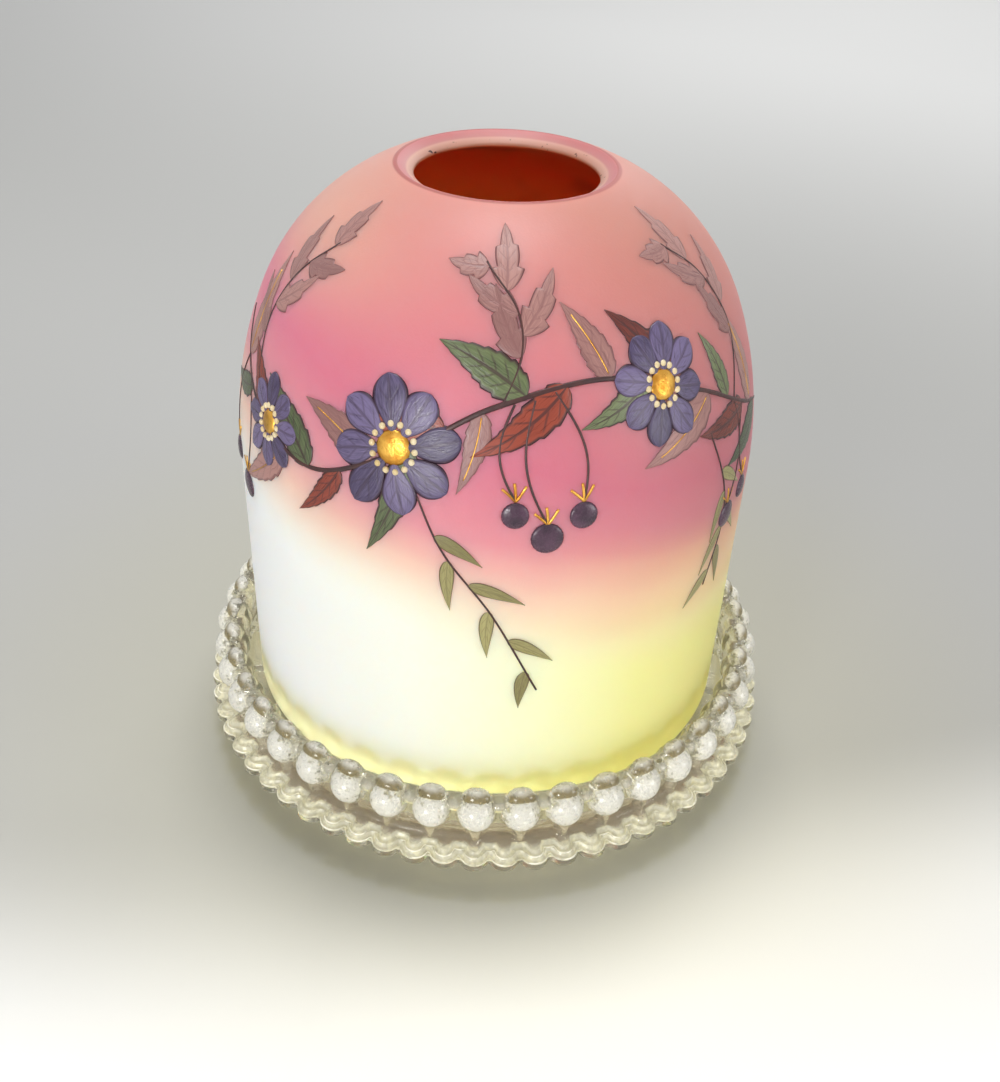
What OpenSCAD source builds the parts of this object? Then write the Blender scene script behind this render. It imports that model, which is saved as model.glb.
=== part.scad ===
// Fairy lamp: a satin glass dome resting in a pressed-glass base, over a night light in its own glass cup.
// Millimetres. +Z is up, the lamp's axis is Z, and z = 0 is the surface that the foot stands on.

/* [Shade] */
// Outside diameter of the shade's straight side
shade_od = 82; // [72:1:96]
// Thickness of the shade's glass
shade_wall = 2.6; // [2:0.1:4]
// Height of the straight side above the shade's bottom edge
shade_side_h = 44.7; // [36:0.1:60]
// Radius of the slow curve above the straight side
flank_r = 62.7; // [52:0.1:76]
// Angle that the slow curve turns through
flank_angle = 22.9; // [18:0.1:28]
// Radius of the crown's curve
crown_r = 34; // [30:0.1:36]
// Diameter of the chimney opening
vent_d = 26.8; // [20:0.2:30]
// Width of the ground edge round the opening
lip_w = 2.4; // [1.8:0.1:4]
// How far the ground edge slopes down towards the opening
lip_drop = 1.5; // [1:0.1:2]

/* [Base dish] */
// Height of the shade's seat above the table
seat_z = 12; // [11:0.1:15]
// Outside diameter of the foot ring
foot_d = 66; // [60:1:72]
// Width of the foot ring
foot_w = 6; // [4:0.5:9]
// Height of the foot ring under the dish
foot_h = 1.6; // [1:0.1:2.4]
// Radius of the dish's rounded underside
dish_r = 23.6; // [20:0.1:30]
// Thickness of the dish's floor
floor_t = 3.2; // [2.4:0.1:4]
// Radius where the dish's floor turns up into its side
well_round = 5; // [3:0.5:6]
// How far the ledge reaches in past the shade's wall
ledge_lap = 1; // [0.5:0.1:2]
// Height of the ribs that the shade rests on
rib_h = 0.8; // [0.5:0.1:1.5]
// Width of each of those ribs
rib_w = 2; // [1.4:0.1:3]
// Number of those ribs
rib_count = 24; // [12:2:32]

/* [Beaded rim] */
// Gap between the shade and the base's inner wall
gallery_gap = 2.6; // [1.5:0.1:4]
// Thickness of the wall that carries the beads
rim_wall = 2.6; // [2.2:0.1:3.6]
// Diameter of the beads along the top of the rim
bead_d = 4.4; // [3.8:0.1:5.2]
// Space between one bead and the next
bead_gap = 2.3; // [1.2:0.1:3]
// Height of the beads' tops above the shade's seat
bead_top_h = 7.7; // [6.8:0.1:9]
// How far the wall's rounded top lies below the beads' centres
rim_drop = 0.775; // [0.5:0.025:1.2]
// Distance from the inner wall to the beads' centres
bead_in = 1.55; // [1.3:0.05:2]
// Diameter of the lobes under the beads
lobe_d = 6; // [5.2:0.1:6.6]
// Distance of the lobes' centres below the beads' centres
lobe_drop = 2.1; // [1.5:0.1:2.6]
// How far the lobes' centres stand out past the beads' centres
lobe_out = 0.6; // [0.4:0.05:1.2]
// Diameter at the top of the stem that tapers down from each lobe
stem_d = 3.4; // [2.6:0.1:4]
// Diameter at the stem's lower end
stem_tip_d = 1; // [0.6:0.1:1.6]

/* [Scalloped flange] */
// How far the scallops stand out past the wall that carries the beads
flange_out = 3.8; // [3:0.1:4.6]
// Thickness of the flange
flange_t = 4.4; // [3.4:0.1:5]
// Depth of the flange's middle below the shade's seat
flange_drop = 4.9; // [4.4:0.1:5.4]
// Diameter of each scallop
scallop_d = 4.8; // [4.4:0.1:6]
// How far neighbouring scallops run into each other
scallop_lap = 0.13; // [0.1:0.01:0.4]
// Depth of the notches between the scallops
notch_depth = 1.6; // [1:0.1:2]
// Number of ridges that each scallop steps in by
scallop_ridges = 3; // [2:1:3]
// How far each ridge steps in from the one outside it
ridge_step = 0.7; // [0.4:0.1:0.8]

/* [Candle cup] */
// Outside diameter of the cup's foot
cup_foot_d = 46; // [42:0.5:50]
// Outside diameter of the cup's mouth
cup_mouth_d = 51; // [48:0.5:56]
// Height of the cup
cup_h = 26; // [22:0.5:32]
// Thickness of the cup's wall
cup_wall = 2; // [1.6:0.1:3]
// Thickness of the cup's floor
cup_floor_t = 2.6; // [2:0.1:4]
// Clearance between the cup's foot and the socket in the base
socket_gap = 0.5; // [0.3:0.1:1.5]
// Width of the socket's ring
socket_w = 2.2; // [1.6:0.1:3]
// Height of the socket's ring above the dish's floor
socket_h = 3; // [2:0.1:4]

/* [Night light] */
// Clearance between the plaster case and the cup
case_gap = 0.6; // [0.4:0.1:1.5]
// Height of the plaster case
case_h = 17; // [13:0.5:20]
// Thickness of the plaster case
case_wall = 2.2; // [1.8:0.1:3]
// Clearance between the wax and the plaster case at the bottom
wax_gap = 0.3; // [0.2:0.1:1]
// Height of the wax
wax_h = 32; // [26:0.5:34]
// Diameter of the wax at its top
wax_top_d = 28; // [24:0.5:32]
// Depth of the dished top of the wax
wax_dish = 1.2; // [0.6:0.1:2]
// Diameter of each wick
wick_d = 1.6; // [1.2:0.1:2.2]
// Distance between the two wicks
wick_spacing = 11; // [10:0.5:14]
// Length of wick above the wax
wick_out = 6; // [4:0.5:8]
// Diameter of the tabs at the wicks' lower ends
tab_d = 8; // [6:0.5:9]
// Thickness of the tabs and of their collars
tab_t = 0.5; // [0.4:0.1:0.8]
// Height of a tab's collar
collar_h = 3; // [2:0.1:5]
// Clearance round a wick and round its tab
cast_gap = 0.05; // [0.02:0.01:0.1]

/* [Hidden] */
$fn = 96;
bead_fn = 32;
lap = 0.4;
cut = 1;

// Shade
shade_r = shade_od / 2;
vent_r = vent_d / 2;
lip_r = vent_r + lip_w;
flank_top = shade_side_h + flank_r * sin(flank_angle);
crown_axis_r = shade_r - flank_r + (flank_r - crown_r) * cos(flank_angle);
crown_axis_z = shade_side_h + (flank_r - crown_r) * sin(flank_angle);
shade_h = crown_axis_z + sqrt(crown_r ^ 2 - (lip_r - crown_axis_r) ^ 2);
lip_slope = lip_drop / lip_w;

// Base
foot_r = foot_d / 2;
floor_z = foot_h + floor_t;
ledge_z = seat_z - rib_h;
ledge_r = shade_r - shade_wall - ledge_lap;
gallery_r = shade_r + gallery_gap;
rim_r = gallery_r + rim_wall;
bead_r = bead_d / 2;
bead_z = seat_z + bead_top_h - bead_r;
bead_ring_r = gallery_r + bead_in;
bead_count = floor(2 * PI * bead_ring_r / (bead_d + bead_gap));
rim_round = rim_wall / 2;
rim_z = bead_z - rim_drop;
lobe_z = bead_z - lobe_drop;
flange_z = seat_z - flange_drop;
flange_r = rim_r + flange_out;
flange_top = flange_z + flange_t / 2;
scallop_ring_r = flange_r - scallop_d / 2;
scallop_count = floor(2 * PI * scallop_ring_r / (scallop_d - scallop_lap));
socket_r = cup_foot_d / 2 + socket_gap;

// Candle cup and night light
cup_z = floor_z;
cup_foot_r = cup_foot_d / 2;
cup_mouth_r = cup_mouth_d / 2;
cup_flare = (cup_mouth_r - cup_foot_r) / cup_h;
case_z = cup_z + cup_floor_t;
case_r = cup_foot_r + cup_flare * cup_floor_t - cup_wall - case_gap;
wax_z = case_z + case_wall;
wax_foot_r = case_r - case_wall - wax_gap;
wax_top_r = wax_top_d / 2;
wax_top_z = wax_z + wax_h;
wick_r = wick_d / 2;
wick_x = wick_spacing / 2;
wick_z = wax_z + tab_t;
tab_r = tab_d / 2;
collar_r = wick_r + cast_gap + tab_t;

// A rectangle standing on the r axis, with its two upper corners rounded
module round_topped(w, h, r) {
  square([w, h - r]);
  translate([r, 0]) square([w - 2 * r, h]);
  for (x = [r, w - r]) translate([x, h - r]) circle(r);
}

// Half of the dome's outline, drawn in by inset: a straight side, a slow arc and the crown's arc,
// each arc meeting the next with a common tangent
module dome_half(inset) {
  split_z = flank_top - inset * sin(flank_angle);
  square([shade_r - inset, shade_side_h]);
  intersection() {
    translate([shade_r - flank_r, shade_side_h]) circle(flank_r - inset);
    translate([0, shade_side_h]) square([shade_r, split_z - shade_side_h]);
  }
  intersection() {
    translate([crown_axis_r, crown_axis_z]) circle(crown_r - inset);
    translate([0, split_z]) square([shade_r, crown_r]);
  }
}

// What the opening takes off the crown: a bore, and above it a cone that slopes the edge in to the bore
module vent_half() {
  square([vent_r, shade_h + cut]);
  polygon([[0, shade_h - lip_drop], [vent_r, shade_h - lip_drop],
           [lip_r + crown_r, shade_h + lip_slope * crown_r], [0, shade_h + lip_slope * crown_r]]);
}

module shade() {
  color("lightpink") translate([0, 0, seat_z]) rotate_extrude() difference() {
    dome_half(0);
    dome_half(shade_wall);
    vent_half();
  }
}

// The base's solid outline: foot ring, rounded dish and the wall of the rim, waisted above the flange
module base_half() {
  translate([foot_r - foot_w, 0]) square([foot_w, foot_h + lap]);
  difference() {
    intersection() {
      translate([0, foot_h]) square([rim_r, rim_z - foot_h]);
      union() {
        square([foot_r, rim_z]);
        translate([foot_r, foot_h + dish_r]) circle(dish_r);
      }
    }
    translate([rim_r + flange_out, flange_top + stem_d / 2]) circle(flange_out + lap);
  }
  translate([gallery_r + rim_round, rim_z]) circle(rim_round);
}

// What the base is hollowed by: the gallery round the shade's foot, and the well below the ledge
module well_half() {
  translate([0, ledge_z]) square([gallery_r, bead_top_h + cut]);
  translate([0, floor_z]) square([ledge_r - well_round, ledge_z]);
  translate([0, floor_z + well_round]) square([ledge_r, ledge_z]);
  translate([ledge_r - well_round, floor_z + well_round]) circle(well_round);
}

// One knuckle of the rim: a bead, a lobe below it, and a stem that tapers to the flange
module knuckle() {
  translate([bead_ring_r, 0, bead_z]) sphere(bead_r, $fn = bead_fn);
  translate([bead_ring_r + lobe_out, 0, lobe_z]) sphere(lobe_d / 2, $fn = bead_fn);
  translate([rim_r, 0, flange_top - lap])
    cylinder(h = lobe_z - flange_top, d1 = stem_tip_d, d2 = stem_d, $fn = bead_fn);
}

// A flat ring with a scalloped edge, drawn in by inset
module scalloped_plate(inset, t) {
  translate([0, 0, flange_z - t / 2]) linear_extrude(t) difference() {
    union() {
      circle(flange_r - notch_depth - inset);
      for (i = [0 : scallop_count - 1]) rotate(i * 360 / scallop_count)
        translate([scallop_ring_r, 0]) circle(scallop_d / 2 - inset, $fn = bead_fn);
    }
    circle(rim_r - rim_wall / 2);
  }
}

// The flange's scallops step in above and below their middle, one ridge inside the other
module flange() {
  for (i = [0 : scallop_ridges - 1])
    scalloped_plate(i * ridge_step, flange_t * (i + 1) / scallop_ridges);
}

module base() {
  color("whitesmoke", 0.5) union() {
    rotate_extrude() difference() {
      base_half();
      well_half();
    }
    rotate_extrude() translate([socket_r, floor_z - lap]) square([socket_w, socket_h + lap]);
    for (i = [0 : rib_count - 1]) rotate(i * 360 / rib_count)
      translate([ledge_r + lap, -rib_w / 2, ledge_z - lap])
        cube([gallery_r - ledge_r, rib_w, rib_h + lap]);
    flange();
    for (i = [0 : bead_count - 1]) rotate(i * 360 / bead_count) knuckle();
  }
}

module candle_cup() {
  color("aliceblue", 0.5) translate([0, 0, cup_z]) rotate_extrude() union() {
    polygon([[0, 0], [cup_foot_r, 0], [cup_mouth_r, cup_h],
             [cup_mouth_r - cup_wall, cup_h], [cup_foot_r + cup_flare * cup_floor_t - cup_wall, cup_floor_t],
             [0, cup_floor_t]]);
    translate([cup_mouth_r - cup_wall / 2, cup_h]) circle(d = cup_wall);
  }
}

module plaster_case() {
  color("ivory") translate([0, 0, case_z]) rotate_extrude() union() {
    square([case_r, case_wall]);
    translate([case_r - case_wall, 0]) round_topped(case_wall, case_h, case_wall / 3);
  }
}

// The wax is a cone cast round the wicks and their tabs, with a dished top
module wax() {
  color("oldlace") difference() {
    translate([0, 0, wax_z]) cylinder(h = wax_h, r1 = wax_foot_r, r2 = wax_top_r);
    translate([0, 0, wax_top_z - wax_dish]) cylinder(h = wax_dish + lap, r1 = wax_top_r / 2, r2 = wax_top_r);
    for (side = [-1, 1]) translate([side * wick_x, 0, wax_z - cut]) {
      cylinder(h = wax_h + 2 * cut, r = wick_r + cast_gap);
      cylinder(h = cut + collar_h + cast_gap, r = collar_r + cast_gap);
      cylinder(h = cut + tab_t + cast_gap, r = tab_r + cast_gap);
    }
  }
}

module wick(side) {
  color("beige") translate([side * wick_x, 0, wick_z])
    cylinder(h = wax_top_z + wick_out - wick_z, r = wick_r);
}

module wick_tab(side) {
  color("silver") translate([side * wick_x, 0, wax_z]) difference() {
    union() {
      cylinder(h = tab_t, r = tab_r);
      cylinder(h = collar_h, r = collar_r);
    }
    translate([0, 0, tab_t]) cylinder(h = collar_h, r = wick_r + cast_gap);
  }
}

base();
shade();
candle_cup();
plaster_case();
wax();
wick(-1);  // wick_left
wick(1);  // wick_right
wick_tab(-1);  // wick_tab_left
wick_tab(1);  // wick_tab_right
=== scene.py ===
import bpy
import numpy as np
from mathutils import Matrix, Vector


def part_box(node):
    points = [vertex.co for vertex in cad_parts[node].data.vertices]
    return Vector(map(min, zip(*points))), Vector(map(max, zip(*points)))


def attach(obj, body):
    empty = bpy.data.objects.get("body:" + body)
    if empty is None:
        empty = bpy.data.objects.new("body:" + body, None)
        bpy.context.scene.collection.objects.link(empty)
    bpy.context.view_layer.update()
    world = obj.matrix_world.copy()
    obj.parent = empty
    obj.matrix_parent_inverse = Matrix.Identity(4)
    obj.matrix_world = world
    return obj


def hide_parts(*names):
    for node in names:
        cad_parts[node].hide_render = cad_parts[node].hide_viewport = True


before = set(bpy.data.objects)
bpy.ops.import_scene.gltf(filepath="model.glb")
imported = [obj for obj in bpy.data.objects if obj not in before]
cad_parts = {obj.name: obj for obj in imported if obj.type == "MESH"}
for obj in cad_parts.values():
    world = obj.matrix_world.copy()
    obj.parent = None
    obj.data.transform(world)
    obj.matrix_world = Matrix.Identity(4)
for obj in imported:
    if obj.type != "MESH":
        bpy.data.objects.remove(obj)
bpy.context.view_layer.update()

# Lengths in the shapes below are millimetres; put_nets turns them into metres.
MM = 0.001
TURN = 2 * np.pi
GOLDEN = 0.618  # steps of this share of a whole spread tones evenly over any number of shapes

shade_lo, shade_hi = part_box("shade")
SHADE_R = (shade_hi.x - shade_lo.x) / 2 / MM
SHADE_FOOT = shade_lo.z / MM
SHADE_WALL = 2.6
SIDE_H = 44.7
FLANK_R = 62.7
FLANK_TURN = np.radians(22.9)
CROWN_R = 34.0
VENT_R = 13.4
LIP_R, LIP_DROP = 15.8, 1.5
SHADE_EDGE = 0.6  # the outline starts this far above the bottom, which leaves room for its soft edges

base_lo, base_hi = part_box("base")
FLANGE_R = (base_hi.x - base_lo.x) / 2 / MM
FLANGE_OUT = 3.8
RIM_R = FLANGE_R - FLANGE_OUT
GALLERY_R = RIM_R - 2.6
FOOT_R, FOOT_W, FOOT_H = 33.0, 6.0, 1.6
DISH_R = 23.6
FLOOR_Z = 4.8
HUB_R = 4.0  # innermost ring of the base's skin, from which a fan closes to the axis
LEDGE_R, LEDGE_Z = 37.4, 11.2
SOCKET_R, SOCKET_OUT_R, SOCKET_Z = 23.5, 25.7, 7.8
FLANGE_Z, FLANGE_HALF = 7.1, 2.2
SCALLOPS, SCALLOP_R = 64, 2.4
NOTCH = 1.6
RIDGES, RIDGE_STEP, RIDGE_ROUND = 3, 0.7, 0.15
GLINT_R = 0.14
KNUCKLES = 42
BEAD_R, BEAD_RING = 2.2, GALLERY_R + 1.55
BEAD_Z = base_hi.z / MM - BEAD_R
LOBE_R, LOBE_HALF_H, LOBE_RING, LOBE_Z = 3.0, 3.15, BEAD_RING + 0.6, BEAD_Z - 1.95
STEM_FOOT_R, STEM_TOP_R = 0.5, 1.7
STEM_FOOT_Z, STEM_TOP_Z = FLANGE_Z + FLANGE_HALF - 0.4, LOBE_Z - 0.55
CAP_R, CAP_HALF_W, CAP_RING = 1.5, 2.25, BEAD_RING + 0.3
CAP_Z = BEAD_Z + BEAD_R - CAP_R
STUD_R, STUD_RING, STUD_DROP = 1.05, BEAD_RING + 0.9, 0.4
RIBS, RIB_H, RIB_W, RIB_SOFT = 24, 0.8, 2.0, 0.3

CUP_FOOT_R, CUP_WELL_R, CUP_FLOOR, CUP_LIP = 23.0, 21.25, 2.6, 2.0
CASE_WALL = 2.2
WAX_TOP_R, WAX_BRIM_R, WAX_POOL_R = 14.0, 11.5, 7.0
WAX_BRIM_DROP, WAX_POOL_DROP = 0.5, 1.2
FLAT_R = 8.0  # innermost ring of the flat undersides of cup, pot and wax
LEAF_ROWS = 34


def put_nets(name, nets, poles=None, ring=False, **marks):
    """One mesh of k nets, each rows x columns points whose columns close round on themselves.

    With poles, a fan closes each end row to its own pole; with ring, the last row joins the first.
    The winding is turned where the first net's signed volume comes out negative, so faces look outwards.
    Each mark is an attribute with one value per net point, and a pole takes the mean of the row beside it.
    """
    k, rows, cols, _ = nets.shape
    lower, turn = np.meshgrid(np.arange(rows if ring else rows - 1), np.arange(cols), indexing="ij")
    lower, turn = lower.ravel(), turn.ravel()
    upper, after = (lower + 1) % rows, (turn + 1) % cols
    quads = np.stack([lower * cols + turn, lower * cols + after,
                      upper * cols + after, upper * cols + turn], 1)
    points = nets.reshape(k, -1, 3)
    count = rows * cols
    fans = np.zeros((0, 3), int)
    if poles is not None:
        points = np.concatenate([points, poles], 1)
        edge, after = np.arange(cols), (np.arange(cols) + 1) % cols
        last = (rows - 1) * cols
        fans = np.concatenate([np.stack([after, edge, np.full(cols, count)], 1),
                               np.stack([last + edge, last + after, np.full(cols, count + 1)], 1)])
        count += 2
    tris = np.concatenate([quads[:, [0, 1, 2]], quads[:, [0, 2, 3]], fans])
    a, b, c = (points[0][tris[:, i]] for i in range(3))
    if np.einsum("ij,ij->i", a, np.cross(b, c)).sum() < 0:
        quads, fans = quads[:, ::-1], fans[:, ::-1]
    start = (np.arange(k) * count)[:, None, None]
    corners = np.concatenate([(quads + start).ravel(), (fans + start).ravel()])
    sizes = np.concatenate([np.full(k * len(quads), 4), np.full(k * len(fans), 3)])

    mesh = bpy.data.meshes.new(name)
    mesh.vertices.add(k * count)
    mesh.vertices.foreach_set("co", (points * MM).astype(np.float32).ravel())
    mesh.loops.add(len(corners))
    mesh.loops.foreach_set("vertex_index", corners.astype(np.int32))
    mesh.polygons.add(len(sizes))
    mesh.polygons.foreach_set("loop_start", (np.cumsum(sizes) - sizes).astype(np.int32))
    mesh.update(calc_edges=True)
    mesh.validate()
    mesh.shade_smooth()
    for mark, values in marks.items():
        values = np.broadcast_to(values, (k, rows, cols)).astype(float)
        flat = values.reshape(k, -1)
        if poles is not None:
            flat = np.concatenate([flat, values[:, [0, -1]].mean(2)], 1)
        mesh.attributes.new(mark, "FLOAT", "POINT").data.foreach_set("value", flat.astype(np.float32).ravel())
    obj = bpy.data.objects.new(name, mesh)
    bpy.context.scene.collection.objects.link(obj)
    return obj


def dress(obj, material, body, slot, *nodes):
    """The piece gets its material, rides on its body and stands for the nodes; the slot is not used."""
    obj.data.materials.append(material)
    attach(obj, body)
    if nodes:
        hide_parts(*nodes)


def turned(line, cols):
    """Each point (r, z) of the line goes once round the axis: (r sin a, -r cos a, z), from the front."""
    a = np.arange(cols) * TURN / cols
    r, z = np.asarray(line, float).T[:, :, None]
    return np.stack([r * np.sin(a), -r * np.cos(a), z + 0 * a], -1)


def softened(corners, steps=5):
    """A line of straight runs through corners (r, z, trim): each corner with a trim is cut that far back
    along both runs, and a parabola from one cut to the other, pulled to the corner, takes its place."""
    p = np.array([c[:2] for c in corners], float)
    line = [p[:1]]
    u = np.linspace(0, 1, steps)[:, None]
    for i in range(1, len(p) - 1):
        trim = corners[i][2]
        before, after = p[i - 1] - p[i], p[i + 1] - p[i]
        a = p[i] + trim * before / np.linalg.norm(before)
        b = p[i] + trim * after / np.linalg.norm(after)
        line.append((1 - u) ** 2 * a + 2 * u * (1 - u) * p[i] + u ** 2 * b if trim else p[i:i + 1])
    return np.concatenate(line + [p[-1:]])


def dome(s):
    """Radius, height and outward normal at s along the dome's outline, from its bottom edge.

    The outline runs straight up, then round the slow flank arc, then round the tighter crown arc; both
    arcs start where the one before ends, in the same direction, so the normal turns by arc length / radius.
    """
    flank = np.clip((s - SIDE_H) / FLANK_R, 0, FLANK_TURN)
    crown = np.clip((s - SIDE_H - FLANK_R * FLANK_TURN) / CROWN_R, 0, None)
    turn = flank + crown
    r = SHADE_R + FLANK_R * (np.cos(flank) - 1) + CROWN_R * (np.cos(FLANK_TURN + crown) - np.cos(FLANK_TURN))
    z = (SHADE_FOOT + np.minimum(s, SIDE_H) + FLANK_R * np.sin(flank)
         + CROWN_R * (np.sin(FLANK_TURN + crown) - np.sin(FLANK_TURN)))
    return r, z, np.cos(turn), np.sin(turn)


def crown_reach(radius, inset):
    """Length along the outline at which the crown, drawn in by inset, has closed in to that radius."""
    axis = SHADE_R - FLANK_R + (FLANK_R - CROWN_R) * np.cos(FLANK_TURN)
    turn = np.arccos((radius - axis) / (CROWN_R - inset))
    return SIDE_H + FLANK_R * FLANK_TURN + CROWN_R * (turn - FLANK_TURN)


def shade_glass():
    """The dome's wall as one closed ring: up the outline, in over the sloping ground edge, down the vent's
    bore, down the same outline moved in along its normal by the wall, and round the bottom edge."""
    end = crown_reach(LIP_R, 0)
    way = np.concatenate([np.linspace(SHADE_EDGE, end - 3, 80), np.linspace(end - 2.5, end - 0.4, 8)])
    outer = np.stack(dome(way)[:2], 1)
    r, z, nr, nz = dome(np.linspace(crown_reach(VENT_R, SHADE_WALL), SHADE_EDGE, 72))
    inner = np.stack([r - SHADE_WALL * nr, z - SHADE_WALL * nz], 1)
    top = dome(end)[1]
    lip = softened([outer[-1], (LIP_R, top, 0.35), (VENT_R, top - LIP_DROP, 0.2), inner[0]], 6)[1:-1]
    foot = softened([inner[-1], (SHADE_R - SHADE_WALL, SHADE_FOOT, 0.5),
                     (SHADE_R, SHADE_FOOT, 0.5), outer[0]])[1:-1]
    line = np.concatenate([outer, lip, inner, foot])
    inside = np.concatenate([np.zeros(len(outer) + len(lip)), np.ones(len(inner)), np.zeros(len(foot))])
    slope = np.clip((LIP_R - line[:, 0]) / (LIP_R - VENT_R), -1, 1)
    return put_nets("shade_glass", turned(line, 288)[None], ring=True, inside=inside[None, :, None],
                    slope=slope[None, :, None])


def rim_surface(line, a):
    """The beaded rim: from each point of the wall's section a ray comes in along the section's normal and
    stops where it meets the soft union of the wall, the beads, the lobes under them, the tapered stems and
    the studs between the beads.

    Distances to the wall, to the flattened bead, to the tall lobe, to the stem's cone and to the stud's ball
    are joined by -soft log(sum(exp(-d / soft))), which rounds every crease as pressed glass does, and the ray
    moves in by a share of that joined distance, often enough for it to settle.
    """
    run = np.gradient(line, axis=0)
    run /= np.linalg.norm(run, axis=1)[:, None]
    nr, nz = run[:, 1, None], -run[:, 0, None]
    pitch = TURN / KNUCKLES
    near = a - np.round(a / pitch) * pitch
    between = pitch / 2 - np.abs(near)
    soft, start, pace, moves = 0.1, 5.0, 0.85, 36
    away = np.full((len(line), len(a)), start)
    for _ in range(moves):
        r = line[:, 0, None] + away * nr
        z = line[:, 1, None] + away * nz
        x, y = r * np.cos(near), r * np.sin(near)
        bead = np.sqrt((x - CAP_RING) ** 2 + (y * CAP_R / CAP_HALF_W) ** 2 + (z - CAP_Z) ** 2) - CAP_R
        lobe = np.sqrt((x - LOBE_RING) ** 2 + y ** 2 + ((z - LOBE_Z) * LOBE_R / LOBE_HALF_H) ** 2) - LOBE_R
        girth = np.interp(z, [STEM_FOOT_Z, STEM_TOP_Z], [STEM_FOOT_R, STEM_TOP_R])
        stem = np.maximum(np.sqrt((x - RIM_R) ** 2 + y ** 2) - girth, z - LOBE_Z)
        x, y = r * np.cos(between), r * np.sin(between)
        stud = np.sqrt((x - STUD_RING) ** 2 + y ** 2 + (z - BEAD_Z + STUD_DROP) ** 2) - STUD_R
        forms = (away, bead, lobe, stem, stud)
        away += pace * soft * np.log(sum(np.exp(-np.clip(d, -3, 9) / soft) for d in forms))
    r = line[:, 0, None] + away * nr
    return np.stack([r * np.sin(a), -r * np.cos(a), line[:, 1, None] + away * nz], -1)


def flange_line(e, a):
    """Radius and half thickness of the scalloped flange at inset e: the plan is the outer of a circle and the
    scallops' smaller ones, centred on a ring, all drawn in by e, and the half thickness climbs in rounded
    ridges, each a quarter circle over the first part of its step."""
    climb = [np.clip((e - RIDGE_STEP * i) / RIDGE_ROUND, 0, 1) for i in range(RIDGES)]
    rise = sum(np.sqrt(1 - (1 - share) ** 2) for share in climb)
    pitch = TURN / SCALLOPS
    near = a - np.round(a / pitch) * pitch
    ring = FLANGE_R - SCALLOP_R
    room = np.maximum((SCALLOP_R - e) ** 2 - (ring * np.sin(near)) ** 2, 0)
    r = np.maximum(FLANGE_R - NOTCH - e, np.where(room > 0, ring * np.cos(near) + np.sqrt(room), 0))
    return r, rise * FLANGE_HALF / RIDGES


def flange_surface(a):
    """The flange's skin, from under its root out to its edge and back over the top."""
    e = np.array([1.55, 1.47, 1.42, 1.4, 1.15, 0.83, 0.77, 0.72, 0.7, 0.45, 0.14, 0.06, 0.02])
    e = np.concatenate([e, [0.0], e[::-1]])[:, None]
    side = np.where(np.arange(len(e)) < len(e) // 2, -1, 1)[:, None]
    r, half = flange_line(e, a)
    return np.stack([r * np.sin(a), -r * np.cos(a), FLANGE_Z + side * half + 0 * r], -1)


def ridge_glints():
    """Painted glints on the crests of the flange's ridges, white tubes standing in for the highlights there:
    two thin tubes that follow the scalloped plan, one along the upper corner of each outer ridge."""
    a = np.arange(960) * TURN / 960
    r, half = flange_line(np.array([0.15, 0.85])[:, None], a)
    t = np.arange(6) * TURN / 6
    out = r[:, :, None] + GLINT_R * np.cos(t)
    z = FLANGE_Z + (half + 0 * a)[:, :, None] + GLINT_R * np.sin(t)
    net = np.stack([out * np.sin(a)[:, None], -out * np.cos(a)[:, None], z], -1)
    return put_nets("ridge_glints", net, ring=True, body=np.array(1.0))


def waist_line(z):
    """Radius of the wall between flange and beads: a hollow curve that meets the straight wall."""
    curve = np.sqrt(np.maximum((FLANGE_OUT + 0.4) ** 2 - (z - FLANGE_Z - FLANGE_HALF - 1.7) ** 2, 0))
    return np.minimum(RIM_R, FLANGE_R - curve)


def flange_painted_sheen_and_shade():
    """Painted sheen on the flange's upper side, a straw brightness standing in for the light in the glass,
    and, half as strong, painted shade up the waist, a taupe for the dark seen through it: a shell that stands
    0.08 mm off the glass at its outer face and 0.02 mm at its inner one."""
    a = np.arange(448) * TURN / 448
    e = np.array([0.04, 0.1, 0.16, 0.4, 0.72, 0.78, 0.86, 1.1, 1.42, 1.48, 1.55])[:, None]
    r, half = flange_line(e, a)
    z = np.linspace(FLANGE_Z + FLANGE_HALF + 0.15, LOBE_Z - 2.15, 8)[:, None]
    r = np.concatenate([r, waist_line(z) + 0 * a])
    z = np.concatenate([FLANGE_Z + half + 0 * a, z + 0 * a])
    r = np.concatenate([r + 0.05, r[::-1] + 0.01])
    z = np.concatenate([z + 0.06, z[::-1] + 0.015])
    body = np.concatenate([np.ones(len(e)), np.full(len(z) // 2 - len(e), 0.5)])
    body = np.concatenate([body, body[::-1]])[None, :, None]
    net = np.stack([r * np.sin(a), -r * np.cos(a), z], -1)
    return put_nets("flange_painted_sheen_and_shade", net[None], ring=True, body=body)


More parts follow.
